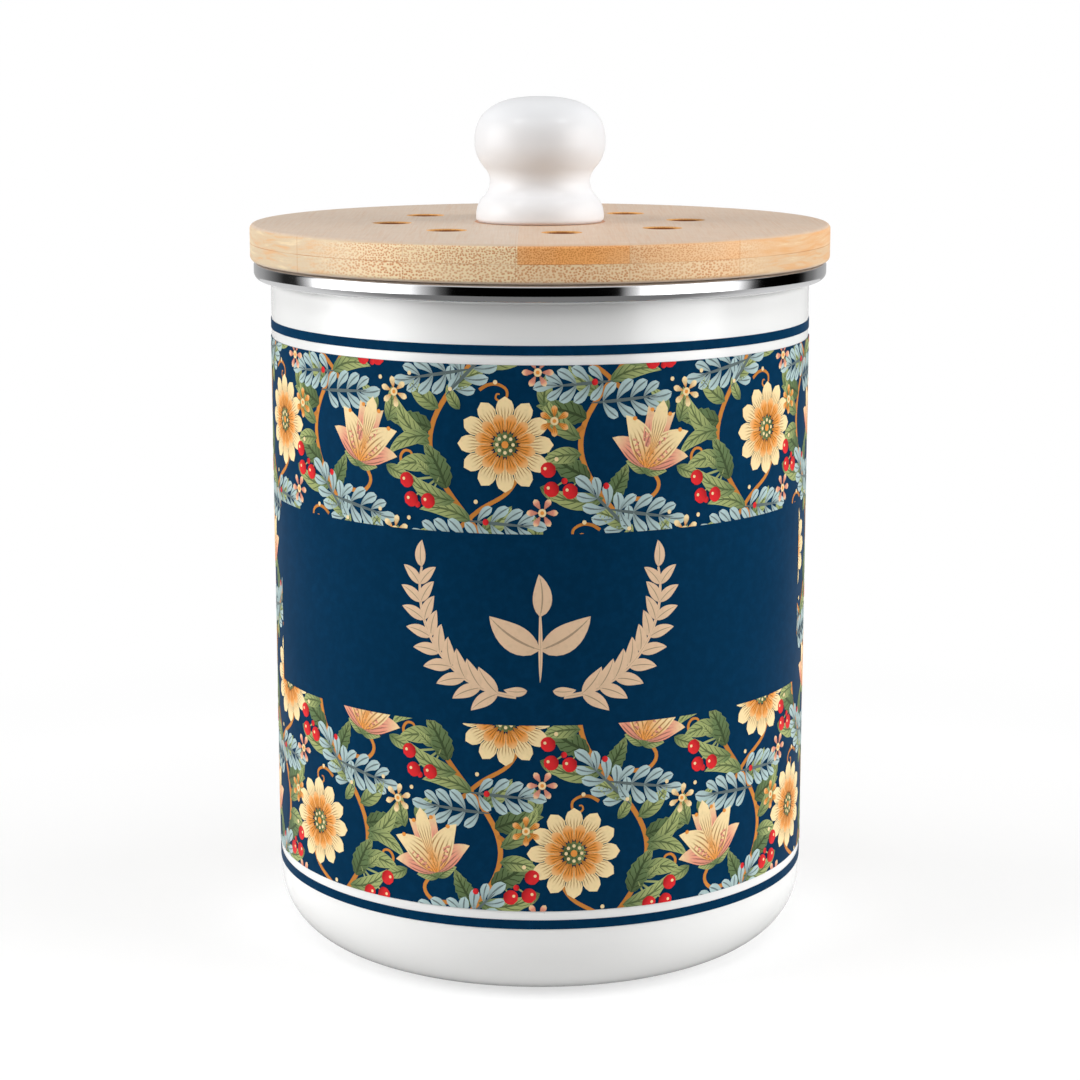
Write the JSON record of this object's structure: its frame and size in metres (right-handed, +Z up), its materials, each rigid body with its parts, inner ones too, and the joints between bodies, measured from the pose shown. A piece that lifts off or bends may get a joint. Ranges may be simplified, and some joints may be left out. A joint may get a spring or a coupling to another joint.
{
  "type": "compost caddy",
  "caption": "Round enamelled countertop compost can with a steel rim band, a printed wrap and a lift-off vented bamboo lid that holds a carbon filter under a white knob.",
  "frame": {"origin": "middle of the base, at the height of the surface that the can stands on", "axes": "+Z up along the can's axis; -Y is the front, which the middle of the label panel faces; +X is to the right seen from the front"},
  "size_m": [0.156, 0.156, 0.2291],
  "materials": {
    "white_enamel": "fired gloss enamel on steel",
    "polished_steel": "mirror polished stainless steel",
    "pattern_print": "gloss fired transfer with a repeating leaf and flower pattern",
    "navy_print": "gloss fired transfer",
    "bamboo": "oiled laminated bamboo",
    "white_ceramic": "gloss glaze",
    "insert_brass": "turned",
    "plated_steel": "zinc plated",
    "seal_silicone": "matte translucent white silicone",
    "cover_plastic": "fine matte moulding",
    "carbon_felt": "needled activated carbon felt"
  },
  "bodies": {
    "can": {"can_body": "white_enamel", "rim_band": "polished_steel", "print_wrap": "pattern_print", "label_panel": "navy_print", "upper_line": "navy_print", "lower_line": "navy_print"},
    "lid": {"lid_upper_ply": "bamboo", "lid_lower_ply": "bamboo", "knob": "white_ceramic", "knob_insert": "insert_brass", "knob_screw": "plated_steel", "knob_washer": "plated_steel", "locating_ring": "bamboo", "seal_ring": "seal_silicone"},
    "filter": {"filter_cover": "cover_plastic", "filter_pad": "carbon_felt"}
  },
  "joints": [
    {"name": "lid_lift", "type": "slide", "parent": "can", "child": "lid", "axis": [0, 0, 1], "range_m": [0, 0.05]},
    {"name": "cover_pull", "type": "slide", "parent": "lid", "child": "filter", "axis": [0, 0, -1], "range_m": [0, 0.03]}
  ]
}
